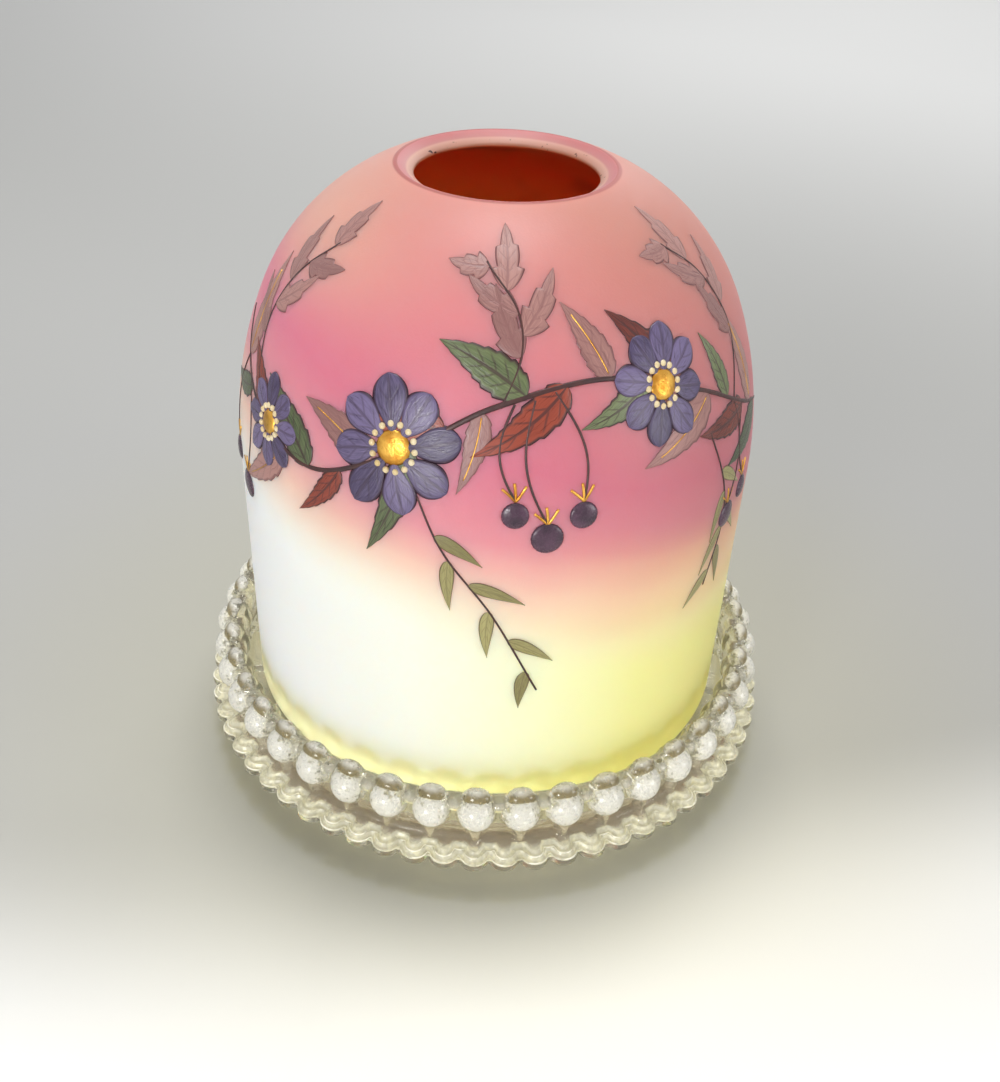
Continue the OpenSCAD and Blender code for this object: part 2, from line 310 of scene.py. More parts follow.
def base_glass():
    """The pressed base as one skin between two poles on the axis: under the floor, round the foot ring, up
    the dish's arc, round the flange, over the beaded rim, and down the ledge and well to the floor."""
    cols = 672
    a = np.arange(cols) * TURN / cols
    under = softened([(HUB_R, FOOT_H, 0), (FOOT_R - FOOT_W, FOOT_H, 0.4), (FOOT_R - FOOT_W, 0, 0.5),
                      (FOOT_R, 0, 0.5), (FOOT_R, FOOT_H, 0.5), (FOOT_R + 1.5, FOOT_H + 0.05, 0)], 4)
    t = np.linspace(0.1, np.arcsin((RIM_R - FOOT_R) / DISH_R), 9)
    dish = np.stack([FOOT_R + DISH_R * np.sin(t), FOOT_H + DISH_R * (1 - np.cos(t))], 1)
    z = np.linspace(FLANGE_Z + FLANGE_HALF + 0.1, BEAD_Z - 0.775, 25)
    wall = np.stack([waist_line(z), z], 1)
    half = (RIM_R - GALLERY_R) / 2
    t = np.linspace(0, np.pi, 23)[1:]
    crest = np.stack([GALLERY_R + half + half * np.cos(t), z[-1] + half * np.sin(t)], 1)
    inside = np.stack([np.full(13, GALLERY_R), np.linspace(z[-1], LEDGE_Z + 1.0, 14)[1:]], 1)
    rim = rim_surface(np.concatenate([wall, crest, inside]), a)

    r = np.append(GALLERY_R - 0.1, LEDGE_R + np.array([4.6, 3.1, 1.6, 0.8, 0.5, 0.2]))[:, None]
    pitch = TURN / RIBS
    off = np.abs(r * np.sin(a - np.round(a / pitch) * pitch))
    lift = np.clip((RIB_W / 2 - off) / RIB_SOFT + 0.5, 0, 1) * np.clip((r - LEDGE_R - RIB_SOFT) / 0.2, 0, 1)
    ledge = np.stack([r * np.sin(a), -r * np.cos(a), LEDGE_Z + RIB_H * lift], -1)
    well = softened([(LEDGE_R, LEDGE_Z - 0.2, 0), (LEDGE_R, FLOOR_Z, 5), (SOCKET_OUT_R, FLOOR_Z, 0.5),
                     (SOCKET_OUT_R, SOCKET_Z, 0.4), (SOCKET_R, SOCKET_Z, 0.4), (SOCKET_R, FLOOR_Z, 0.4),
                     (HUB_R, FLOOR_Z, 0)])
    net = np.concatenate([turned(under, cols), turned(dish, cols), flange_surface(a), rim, ledge,
                          turned(well, cols)])
    poles = np.array([[(0, 0, FOOT_H), (0, 0, FLOOR_Z)]])
    return put_nets("base_glass", net[None], poles)


def frost_and_glare_skins():
    """Skins of the rim: thin white lenses laid on the lobes, on the beads and on the studs between them,
    which are partly the glass's frosted stipple and partly painted highlight, the white standing in for the
    glare that the knuckles catch. On its ball, drawn out sideways by wide and upwards by tall, a lens goes
    out from its pole, which looks up by rise, in even steps to its spread and back in, while the lift falls
    as cos(t); slow waves round the pole and over the lens make its edge ragged and its face lumpy. Cover is
    the share of white that each kind has, and the outer side of a bead browns from its top down: painted
    shade, for the dark surroundings seen through the bead."""
    i = np.arange(3 * KNUCKLES)[:, None, None]
    kind = i // KNUCKLES
    ring, level, ball, wide, tall, rise, spread, cover = np.array([
        (LOBE_RING, LOBE_Z, LOBE_R, 1.0, LOBE_HALF_H / LOBE_R, 0.2, 1.7, 0.88),
        (CAP_RING, CAP_Z, CAP_R, CAP_HALF_W / CAP_R, 1.0, 0.9, 1.6, 0.8),
        (STUD_RING, BEAD_Z - STUD_DROP, STUD_R, 1.0, 1.0, 0.5, 1.4, 0.2)]).T[:, kind]
    gap, bulge = 0.04, 0.08
    turn = (i + 0.5 * (kind == 2)) * TURN / KNUCKLES
    t = (np.arange(9) + 1)[:, None] * np.pi / 10
    v = np.arange(18) * TURN / 18
    fade = 1 - np.abs(1 - 2 * t / np.pi)
    reach = spread * fade * (1 + 0.08 * np.sin(3 * v + 2.4 * i) + 0.05 * np.sin(7 * v + 1.3 * i))
    lumps = np.sin(6 * reach * np.cos(v) + i) * np.sin(6 * reach * np.sin(v))
    lift = ball + gap + bulge * np.cos(t) * (1 + 0.4 * lumps)

    def placed(ahead, aside, up, lift):
        out = ring + lift * (ahead * np.cos(rise) - up * np.sin(rise))
        aside = lift * wide * aside
        return np.stack([out * np.sin(turn) + aside * np.cos(turn), aside * np.sin(turn) - out * np.cos(turn),
                         level + lift * tall * (up * np.cos(rise) + ahead * np.sin(rise))], -1)

    up = np.sin(reach) * np.sin(v)
    net = placed(np.cos(reach), np.sin(reach) * np.cos(v), up, lift)
    poles = placed(1, 0, 0, ball + gap + np.array([bulge, -bulge]))[:, 0]
    steep = up * np.cos(rise) + np.cos(reach) * np.sin(rise)
    outer = np.cos(reach) * np.cos(rise) - up * np.sin(rise)
    # Painted shade: brown over the outer, lower faces of the beads.
    amber = (kind == 1) * np.clip((0.95 - steep) / 0.3, 0, 1) * np.clip(3 * outer, 0, 1)
    return put_nets("frost_and_glare_skins", net, poles, fade=fade[None], body=cover, amber=amber)


def turned_solid(name, corners, cols, steps=5):
    """A solid of one softened line turned about the axis, its first and last point lying on the axis."""
    line = softened(corners, steps)
    poles = np.array([[(0, 0, line[0, 1]), (0, 0, line[-1, 1])]])
    return put_nets(name, turned(line[1:-1], cols)[None], poles)


def cup_piece():
    """The candle cup: a flaring wall on a thick floor with a fire-rounded rim."""
    lo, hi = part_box("candle_cup")
    z0, z1, mouth = lo.z / MM, hi.z / MM, hi.x / MM
    return turned_solid("cup_glass", [
        (0, z0, 0), (FLAT_R, z0, 0), (CUP_FOOT_R, z0, 1.2), (mouth, z1, 1.3), (mouth - CUP_LIP, z1, 0.9),
        (CUP_WELL_R, z0 + CUP_FLOOR, 2.5), (FLAT_R, z0 + CUP_FLOOR, 0), (0, z0 + CUP_FLOOR, 0)], 160, 7)


def case_piece():
    """The plaster pot: a straight wall with a softened rim round a flat floor."""
    lo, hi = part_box("plaster_case")
    z0, z1, r = lo.z / MM, hi.z / MM, hi.x / MM
    return turned_solid("plaster_pot", [
        (0, z0, 0), (FLAT_R, z0, 0), (r, z0, 0.6), (r, z1, 0.9), (r - CASE_WALL, z1, 0.9),
        (r - CASE_WALL, z0 + CASE_WALL, 0), (0, z0 + CASE_WALL, 0)], 128)


def wax_piece():
    """The wax: a cone with a rounded shoulder and a shallow molten dish in its top."""
    lo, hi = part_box("wax")
    z0, z1, r = lo.z / MM, hi.z / MM, hi.x / MM
    brim, pool = z1 - WAX_BRIM_DROP, z1 - WAX_POOL_DROP
    return turned_solid("wax_body", [
        (0, z0, 0), (FLAT_R, z0, 0), (r, z0, 0.8), (WAX_TOP_R, z1, 1.2), (WAX_BRIM_R, brim, 1.2),
        (WAX_POOL_R, pool, 2.0), (3, pool, 0), (0, pool, 0)], 128, 7)


def wick_piece(node):
    """A wick of three twisted strands: the radius rises and falls three times round, and the whole figure
    turns with height; both ends draw in to a blunt tip."""
    lo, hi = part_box(node)
    z0, z1, x, r = lo.z / MM, hi.z / MM, (lo.x + hi.x) / 2 / MM, (hi.x - lo.x) / 2 / MM
    z, t = np.linspace(z0, z1, 150)[:, None], (np.arange(24) * TURN / 24)[None]
    end = np.clip(np.minimum(z - z0, z1 - z) / 0.5, 0, 1)
    girth = r * (0.86 + 0.14 * np.cos(3 * (t - 1.1 * (z - z0)))) * np.sqrt(1 - (1 - end) ** 2 * 0.8)
    net = np.stack([x + girth * np.cos(t), girth * np.sin(t), z + 0 * t], -1)
    return put_nets(node + "_cord", net[None], np.array([[(x, 0, z0), (x, 0, z1)]]),
                    along=((z - z0) / (z1 - z0))[None])


def flowing(points, n):
    """A smooth line of n places through the points: each span is a cubic that leaves every point along the
    chord between that point's two neighbours."""
    p = np.asarray(points, float)
    q = np.vstack([2 * p[0] - p[1], p, 2 * p[-1] - p[-2]])
    u = np.linspace(0, len(p) - 1, n)
    k = np.minimum(u.astype(int), len(p) - 2)
    t = (u - k)[:, None]
    a, b, c, d = q[k], q[k + 1], q[k + 2], q[k + 3]
    square, cube = 2 * a - 5 * b + 4 * c - d, 3 * b - a - 3 * c + d
    return 0.5 * (2 * b + (c - a) * t + square * t ** 2 + cube * t ** 3)


def on_shade(place, lift):
    """A place (x, s) on the dome: x round from the front at the straight side's radius, s up the outline;
    the point stands off by lift along the outline's normal."""
    r, z, nr, nz = dome(place[..., 1])
    a = place[..., 0] / SHADE_R
    out = r + lift * nr
    return np.stack([out * np.sin(a), -out * np.cos(a), z + lift * nz], -1)


def strokes(name, paths, half_width, relief, material, tone=0.0, cols=8):
    """Enamel laid on the dome as flattened tubes: a place on each path moves sideways by half_width cos t
    and up by relief sin t, so half of every tube stands proud of the glass and half is sunk in it."""
    run = np.gradient(paths, axis=1)
    run /= np.linalg.norm(run, axis=2)[:, :, None]
    side = np.stack([run[..., 1], -run[..., 0]], -1)[:, :, None]
    squeeze = dome(paths[..., 1])[0][:, :, None] / SHADE_R
    t = np.arange(cols) * TURN / cols
    reach = half_width[:, :, None] * np.cos(t)
    place = paths[:, :, None] + reach[..., None] * side
    place[..., 0] = paths[..., 0, None] + (place[..., 0] - paths[..., 0, None]) / squeeze
    net = on_shade(place, relief * np.sin(t))
    poles = on_shade(paths[:, [0, -1]], 0)
    along = np.linspace(0, 1, paths.shape[1])[None, :, None]
    obj = put_nets(name, net, poles, along=along, across=np.cos(t)[None, None],
                   tone=np.reshape(tone, (-1, 1, 1)))
    dress(obj, material, "shade", "satin_glass")


def knobs(name, places, radius, relief, material, rows, cols):
    """Low round drops of enamel: half ellipsoids and their sunk halves, radius wide and relief high."""
    u = (np.arange(rows) + 1)[:, None] * np.pi / (rows + 1)
    t = np.arange(cols) * TURN / cols
    radius = np.reshape(radius, (-1, 1, 1))
    squeeze = dome(places[:, 1])[0][:, None, None] / SHADE_R
    x = places[:, 0, None, None] + radius * np.sin(u) * np.cos(t) / squeeze
    s = places[:, 1, None, None] + radius * np.sin(u) * np.sin(t)
    lift = np.cos(u) + 0 * t
    net = on_shade(np.stack([x, s], -1), relief * lift)
    poles = on_shade(np.repeat(places[:, None], 2, 1), np.array([relief, -relief]))
    obj = put_nets(name, net, poles, along=lift[None])
    dress(obj, material, "shade", "satin_glass")


def leaf_paths(root, heading, length, bend, rows=LEAF_ROWS):
    """Midribs: from each root along its heading, drifting sideways with the square of the way gone."""
    u = np.linspace(0, 1, rows)[None, :, None]
    ahead = np.stack([np.cos(heading), np.sin(heading)], -1)[:, None]
    aside = np.stack([-np.sin(heading), np.cos(heading)], -1)[:, None]
    length = np.reshape(length, (-1, 1, 1))
    return root[:, None] + length * (u * ahead + np.reshape(bend, (-1, 1, 1)) * u ** 2 * aside)


def leaf_widths(width, teeth, saws=7):
    """Half widths of a leaf: fullest a third of the way along and drawn to a long point, with small teeth."""
    u = np.linspace(0, 1, LEAF_ROWS)
    shape = np.sin(np.pi * u ** 0.62) ** 0.85 * (1 - 0.25 * u)
    saw = 1 + teeth * (np.mod(u * saws, 1) - 0.5)
    return np.maximum(np.reshape(width, (-1, 1)) / 2 * (shape * saw)[None], 0.06)


def paint(red, green, blue):
    """Linear colour of a paint given as it looks on a screen, 0 to 255."""
    c = np.array([red, green, blue]) / 255
    return (*np.where(c < 0.04045, c / 12.92, ((c + 0.055) / 1.055) ** 2.4), 1.0)


class Bench:
    """Short hand for filling one node tree: adds a node, sets or links its sockets, gives back an output."""

    def __init__(self, tree):
        self.tree = tree

    def feed(self, socket, value):
        if isinstance(value, bpy.types.NodeSocket):
            self.tree.links.new(value, socket)
        elif value is not None:
            socket.default_value = value

    def node(self, kind, sockets=(), **settings):
        made = self.tree.nodes.new(kind)
        for key, value in settings.items():
            setattr(made, key, value)
        for key, value in dict(sockets).items():
            self.feed(made.inputs[key], value)
        return made

    def math(self, operation, *values):
        return self.node("ShaderNodeMath", enumerate(values), operation=operation).outputs[0]

    def span(self, value, low, high, first=0.0, last=1.0):
        made = self.node("ShaderNodeMapRange", {"Value": value, "From Min": low, "From Max": high,
                                                "To Min": first, "To Max": last})
        made.interpolation_type = "SMOOTHSTEP"
        return made.outputs["Result"]

    def mix(self, share, a, b, blend="MIX"):
        made = self.node("ShaderNodeMix", {0: share, 6: a, 7: b}, data_type="RGBA", blend_type=blend)
        return made.outputs[2]

    def ramp(self, value, *stops):
        made = self.node("ShaderNodeValToRGB", {"Fac": value})
        bar = made.color_ramp.elements
        for i, (place, colour) in enumerate(stops):
            spot = bar[i] if i < 2 else bar.new(place)
            spot.position, spot.color = place, colour
        return made.outputs["Color"]

    def noise(self, place, scale, detail=2.0, rough=0.5):
        return self.node("ShaderNodeTexNoise", {"Vector": place, "Scale": scale, "Detail": detail,
                                                "Roughness": rough}).outputs["Fac"]

    def place(self):
        return self.node("ShaderNodeTexCoord").outputs["Object"]

    def mark(self, name):
        return self.node("ShaderNodeAttribute", attribute_name=name).outputs["Fac"]

    def bump(self, height, strength, depth):
        made = self.node("ShaderNodeBump", {"Height": height, "Strength": strength, "Distance": depth})
        return made.outputs["Normal"]


def new_group(name, wants, gives):
    """An empty shader node group with value inputs (name, default) and value outputs."""
    group = bpy.data.node_groups.new(name, "ShaderNodeTree")
    for key, value in wants:
        group.interface.new_socket(key, in_out="INPUT", socket_type="NodeSocketFloat").default_value = value
    for key in gives:
        group.interface.new_socket(key, in_out="OUTPUT", socket_type="NodeSocketFloat")
    return group, Bench(group), group.nodes.new("NodeGroupInput"), group.nodes.new("NodeGroupOutput")


def fine_grain_group():
    """Grain is fine noise for the feel of a surface, cloud is slow noise for its unevenness."""
    group, b, wants, gives = new_group("fine_grain", [("Grain scale", 900.0), ("Cloud scale", 40.0)],
                                       ["Grain", "Cloud"])
    place = b.place()
    b.feed(gives.inputs["Grain"], b.noise(place, wants.outputs["Grain scale"], 3.0, 0.6))
    b.feed(gives.inputs["Cloud"], b.noise(place, wants.outputs["Cloud scale"], 2.0, 0.45))
    return group


def brush_work_group():
    """Marks of the brush on one enamelled shape, from its places along and across: a dark edge line, a
    midrib, side veins slanting off it, and streaks drawn out along the stroke."""
    group, b, wants, gives = new_group(
        "brush_work", [("Along", 0.0), ("Across", 0.0), ("Tone", 0.0), ("Veins", 7.0)],
        ["Edge", "Rib", "Vein", "Streak"])
    along, across, tone, veins = (wants.outputs[key] for key in ("Along", "Across", "Tone", "Veins"))
    off = b.math("ABSOLUTE", across)
    b.feed(gives.inputs["Edge"], b.span(off, 0.74, 0.95))
    b.feed(gives.inputs["Rib"], b.span(off, 0.05, 0.13, 1.0, 0.0))
    slant = b.math("SUBTRACT", b.math("MULTIPLY", along, veins), b.math("MULTIPLY", off, 1.3))
    line = b.math("ABSOLUTE", b.math("SUBTRACT", b.math("FRACT", b.math("ADD", slant, 4.0)), 0.5))
    vein = b.math("MULTIPLY", b.span(line, 0.05, 0.13, 1.0, 0.0), b.span(off, 0.55, 0.85, 1.0, 0.0))
    b.feed(gives.inputs["Vein"], vein)
    drawn_out = [b.math("MULTIPLY", value, by) for value, by in ((along, 1.6), (across, 5.0), (tone, 37.0))]
    spread = b.node("ShaderNodeCombineXYZ", enumerate(drawn_out)).outputs[0]
    b.feed(gives.inputs["Streak"], b.noise(spread, 2.2, 3.0, 0.6))
    return group


GRAIN = fine_grain_group()
BRUSH = brush_work_group()


def new_material(name, **values):
    """A material with one Principled shader; values go straight onto its sockets."""
    material = bpy.data.materials.new(name)
    material.use_nodes = True
    material.node_tree.nodes.clear()
    b = Bench(material.node_tree)
    plain = {key.replace("_", " "): value for key, value in values.items()}
    shader = b.node("ShaderNodeBsdfPrincipled", plain)
    out = b.node("ShaderNodeOutputMaterial", {"Surface": shader.outputs[0]})
    return material, b, shader.inputs, out


def grain(b, fine, slow):
    """Places the fine_grain group in a material with its own two scales."""
    made = b.node("ShaderNodeGroup", node_tree=GRAIN)
    made.inputs["Grain scale"].default_value = fine
    made.inputs["Cloud scale"].default_value = slow
    return made.outputs


def clouded(b, skin, light, dark):
    """A colour that drifts with the slow noise between a light and a dark of itself."""
    return b.ramp(skin["Cloud"], (0.3, light), (0.75, dark))


def satin_glass():
    """Shaded opal glass with an acid-satin skin. The cream foot grows yellow towards one side and pales to
    near white towards the other, which is painted light, as if that side were brightly lit; the pink of the
    crown starts at a level of height plus a share of x, so that it hangs lower on the yellow side, where
    painted shade darkens it; the ground edge of the vent shows the layers of the glass; and inside, the deep
    red and orange of the glass are painted light, standing in for the light that shines through its wall,
    with dark blotches of painted shadow."""
    material, b, sockets, _ = new_material(
        "satin_glass", IOR=1.45, Specular_IOR_Level=0.35, Subsurface_Weight=0.85,
        Subsurface_Radius=(1.0, 0.8, 0.65), Subsurface_Scale=0.005)
    skin = grain(b, 2600.0, 30.0)
    x, _, z = b.node("ShaderNodeSeparateXYZ", {0: b.place()}).outputs
    lean, drift = 0.283, 0.010
    cloud = b.math("MULTIPLY", b.math("SUBTRACT", skin["Cloud"], 0.5), drift)
    level = b.math("ADD", b.math("ADD", z, b.math("MULTIPLY", x, lean)), cloud)
    share = b.node("ShaderNodeMapRange", {"Value": level, "From Min": 0.010, "From Max": 0.102}).outputs[0]
    # Painted light: the cream pales to near white towards -x, as if lit there, and yellows towards +x.
    aside = b.node("ShaderNodeMapRange", {"Value": x, "From Min": -0.036, "From Max": 0.038}).outputs[0]
    cream = b.ramp(aside, (0.0, paint(255, 248, 242)), (1.0, paint(250, 232, 140)),
                   (0.35, paint(255, 248, 226)), (0.6, paint(255, 245, 196)), (0.8, paint(253, 238, 156)))
    foot = b.math("MULTIPLY", b.span(z, 0.024, 0.015), 0.35)
    cream = b.mix(foot, cream, paint(253, 243, 150))
    pink = b.ramp(share, (0.42, paint(250, 208, 186)), (1.0, paint(212, 146, 132)),
                  (0.5, paint(243, 194, 176)), (0.58, paint(226, 148, 156)), (0.7, paint(216, 124, 144)),
                  (0.84, paint(218, 137, 142)))
    peach = b.math("MULTIPLY", b.span(x, 0.0, -0.03, 0.0, 0.7), b.span(z, 0.082, 0.095))
    pink = b.mix(peach, pink, paint(222, 174, 148))
    # Painted shade: the pink darkens towards +x, as if that side stood out of the light.
    painted_shade_right = b.math("MULTIPLY", b.span(x, -0.005, 0.045, 0.0, 0.5), b.span(share, 0.46, 0.62))
    pink = b.mix(painted_shade_right, pink, paint(158, 94, 86))
    outside = b.mix(b.span(share, 0.34, 0.53), cream, pink)
    tan = b.math("MULTIPLY", b.span(share, 0.40, 0.46), b.span(share, 0.64, 0.52))
    outside = b.mix(b.math("MULTIPLY", tan, b.span(x, 0.0, 0.035, 0.0, 0.5)), outside, paint(236, 196, 132))
    slope = b.mark("slope")
    cut_edge = b.ramp(slope, (0.1, paint(196, 122, 124)), (0.95, paint(204, 142, 122)),
                      (0.5, paint(204, 138, 136)), (0.62, paint(222, 170, 154)))
    soot = b.math("MULTIPLY", b.span(b.noise(b.place(), 900.0, 1.0), 0.68, 0.72), b.span(slope, 0.6, 0.9))
    outside = b.mix(b.span(slope, -0.30, -0.16, 0.0, 0.9), outside, paint(170, 92, 90))
    outside = b.mix(b.span(slope, 0.02, 0.06), outside, b.mix(soot, cut_edge, paint(70, 34, 26)))
    # Painted light: the inner wall's red and orange stand in for light shining through the glass, deepest red
    # at the crown.
    inside = b.ramp(share, (0.0, paint(246, 236, 150)), (1.0, paint(204, 84, 48)),
                    (0.4, paint(248, 200, 140)), (0.62, paint(252, 178, 112)), (0.76, paint(254, 172, 96)),
                    (0.88, paint(232, 110, 60)))
    # Painted shadow: dark blotches on the inner wall, for the shade of the painted spray seen through the
    # glass.
    painted_shadow_blotches = b.span(b.noise(b.place(), 70.0, 1.0), 0.52, 0.66, 0.0, 0.6)
    inside = b.mix(painted_shadow_blotches, inside, paint(150, 50, 30))
    b.feed(sockets["Base Color"], b.mix(b.mark("inside"), outside, inside))
    b.feed(sockets["Roughness"], b.span(skin["Cloud"], 0.3, 0.7, 0.42, 0.52))
    b.feed(sockets["Normal"], b.bump(skin["Grain"], 0.12, 0.0002))
    return material


def clear_to_shadows(b, out, tint):
    """Lets shadow rays through a glass with a tint, so that lamps reach what stands behind it."""
    through = b.node("ShaderNodeBsdfTransparent", {"Color": tint}).outputs[0]
    shadow = b.node("ShaderNodeLightPath").outputs["Is Shadow Ray"]
    glass = out.inputs["Surface"].links[0].from_socket
    b.feed(out.inputs["Surface"], b.node("ShaderNodeMixShader", {0: shadow, 1: glass, 2: through}).outputs[0])


def pressed_glass(name, tint, wave, depth):
    """Clear pressed glass: a faint tint, a skin that is never quite flat, and duller and brighter patches."""
    material, b, sockets, out = new_material(name, Base_Color=tint, Transmission_Weight=0.92, IOR=1.5)
    clear_to_shadows(b, out, (0.80, 0.78, 0.66, 1.0))
    skin = grain(b, wave, 160.0)
    b.feed(sockets["Roughness"], b.span(skin["Cloud"], 0.35, 0.75, 0.02, 0.10))
    b.feed(sockets["Normal"], b.bump(skin["Grain"], 0.35, depth))
    return material


def frost_and_glare_glass():
    """The skin on the rim, part frost and part painted highlight: white, crackled and sparkling, only partly
    clear, and gone at its edge; how much of it there is comes from the mark body, and a second mark browns
    the faces of the beads with painted shade."""
    material, b, sockets, out = new_material(
        "frost_and_glare_glass", Transmission_Weight=0.3, IOR=1.5, Coat_Weight=0.8, Coat_Roughness=0.12)
    clear_to_shadows(b, out, (0.90, 0.89, 0.82, 1.0))
    skin = grain(b, 2600.0, 800.0)
    white = clouded(b, skin, (1.0, 0.99, 0.965, 1), (0.98, 0.965, 0.915, 1))
    # Painted shade: brown on the outer faces of the beads, for the dark seen through them.
    b.feed(sockets["Base Color"], b.mix(b.mark("amber"), white, paint(142, 126, 76)))
    b.feed(sockets["Roughness"], b.span(skin["Cloud"], 0.3, 0.7, 0.22, 0.5))
    patchy = b.math("ADD", b.math("MULTIPLY", skin["Cloud"], 1.6), b.math("MULTIPLY", skin["Grain"], 0.8))
    worn = b.math("ADD", b.mark("fade"), b.math("SUBTRACT", patchy, 1.2))
    b.feed(sockets["Alpha"], b.math("MULTIPLY", b.span(worn, 0.95, 0.5), b.mark("body")))
    b.feed(sockets["Normal"], b.bump(b.math("ADD", skin["Grain"], skin["Cloud"]), 0.8, 0.0007))
    return material


def painted_glass_sheen(name, light, dark, thin, patch, low, high):
    """A thin skin of painted sheen on clear glass, standing in for highlights, that comes and goes in
    patches, between a low and a high cover; where the mark body is small it is fainter, and takes the colour
    thin."""
    material, b, sockets, out = new_material(name, IOR=1.5, Coat_Weight=0.6, Coat_Roughness=0.08)
    clear_to_shadows(b, out, (0.95, 0.94, 0.88, 1.0))
    skin = grain(b, 1600.0, patch)
    body = b.mark("body")
    painted_sheen = b.ramp(skin["Cloud"], (0.35, light), (0.7, dark))
    b.feed(sockets["Base Color"], b.mix(b.span(body, 0.7, 0.95), thin, painted_sheen))
    b.feed(sockets["Roughness"], b.span(skin["Grain"], 0.3, 0.7, 0.2, 0.45))
    b.feed(sockets["Alpha"], b.math("MULTIPLY", body, b.span(skin["Cloud"], 0.42, 0.66, low, high)))
    b.feed(sockets["Normal"], b.bump(skin["Grain"], 0.4, 0.0004))
    return material


def chalky_plaster():
    """Cast plaster: chalk white with warm stains, small pits and a dry, rough skin."""
    material, b, sockets, _ = new_material("chalky_plaster")
    skin = grain(b, 1400.0, 120.0)
    b.feed(sockets["Base Color"], clouded(b, skin, paint(232, 226, 212), paint(214, 203, 182)))
    pits = b.span(skin["Grain"], 0.28, 0.42)
    b.feed(sockets["Roughness"], b.span(skin["Cloud"], 0.2, 0.8, 0.82, 0.95))
    b.feed(sockets["Normal"], b.bump(pits, 0.5, 0.0003))
    return material


def candle_wax():
    """Stearin wax: soft, slightly see-through, with cloudy patches and a dull gloss."""
    material, b, sockets, _ = new_material(
        "candle_wax", Subsurface_Weight=0.35, Subsurface_Radius=(0.9, 0.7, 0.45), Subsurface_Scale=0.003)
    skin = grain(b, 500.0, 90.0)
    b.feed(sockets["Base Color"], clouded(b, skin, paint(245, 239, 222), paint(234, 224, 198)))
    b.feed(sockets["Roughness"], b.span(skin["Cloud"], 0.2, 0.8, 0.36, 0.55))
    b.feed(sockets["Normal"], b.bump(skin["Grain"], 0.15, 0.0003))
    return material


def wick_cotton():
    """Twisted cotton: cream strands with fuzz, browned where the tip has been lit."""
    material, b, sockets, _ = new_material("wick_cotton", Roughness=0.95)
    skin = grain(b, 5200.0, 700.0)
    thread = clouded(b, skin, paint(236, 228, 206), paint(206, 192, 160))
    burnt = b.span(b.math("ADD", b.mark("along"), b.math("MULTIPLY", skin["Cloud"], 0.03)), 0.93, 0.99)
    b.feed(sockets["Base Color"], b.mix(burnt, thread, paint(44, 34, 28)))
    b.feed(sockets["Normal"], b.bump(skin["Grain"], 0.6, 0.0002))
    return material


def tinned_sheet():
    """Tinned sheet: grey metal with a crystalline bloom and rubbed, brighter patches."""
    material, b, sockets, _ = new_material("tinned_sheet", Metallic=1.0)
    skin = grain(b, 1800.0, 420.0)
    b.feed(sockets["Base Color"], clouded(b, skin, paint(196, 196, 193), paint(160, 159, 154)))
    b.feed(sockets["Roughness"], b.span(skin["Grain"], 0.2, 0.8, 0.28, 0.5))
    b.feed(sockets["Normal"], b.bump(skin["Grain"], 0.15, 0.0001))
    return material


def enamel(name, light, dark, line, veins, rib=0.8, gloss=0.32):
    """Brushed enamel of one colour: streaks between a light and a dark of it, an edge line, a midrib and
    side veins in the line colour, and a raised skin that follows the brush."""
    material, b, sockets, _ = new_material(name)
    tone = b.mark("tone")
    marks = b.node("ShaderNodeGroup", {"Along": b.mark("along"), "Across": b.mark("across"), "Tone": tone,
                                       "Veins": veins}, node_tree=BRUSH).outputs
    shade = b.math("ADD", marks["Streak"], b.math("MULTIPLY", b.math("SUBTRACT", tone, 0.5), 0.5))
    colour = b.ramp(shade, (0.25, dark), (0.75, light))
    ribs = b.math("MAXIMUM", marks["Rib"], b.math("MULTIPLY", marks["Vein"], 0.7))
    drawn = b.math("MAXIMUM", b.math("MULTIPLY", ribs, rib), marks["Edge"])
    b.feed(sockets["Base Color"], b.mix(drawn, colour, line))
    b.feed(sockets["Roughness"], b.span(marks["Streak"], 0.2, 0.8, gloss - 0.08, gloss + 0.12))
    height = b.math("ADD", marks["Streak"], b.math("MULTIPLY", drawn, -0.4))
    b.feed(sockets["Normal"], b.bump(height, 0.35, 0.0002))
    return material


def line_enamel(name, light, dark, gloss=0.4, metallic=0.0):
    """Enamel or gilding of one colour for lines and drops, broken by fine grain and slow wear."""
    material, b, sockets, _ = new_material(name, Metallic=metallic)
    skin = grain(b, 2400.0, 500.0)
    b.feed(sockets["Base Color"], b.ramp(skin["Cloud"], (0.3, light), (0.72, dark)))
    b.feed(sockets["Roughness"], b.span(skin["Grain"], 0.2, 0.8, gloss - 0.1, gloss + 0.12))
    b.feed(sockets["Normal"], b.bump(skin["Grain"], 0.3, 0.0002))
    return material


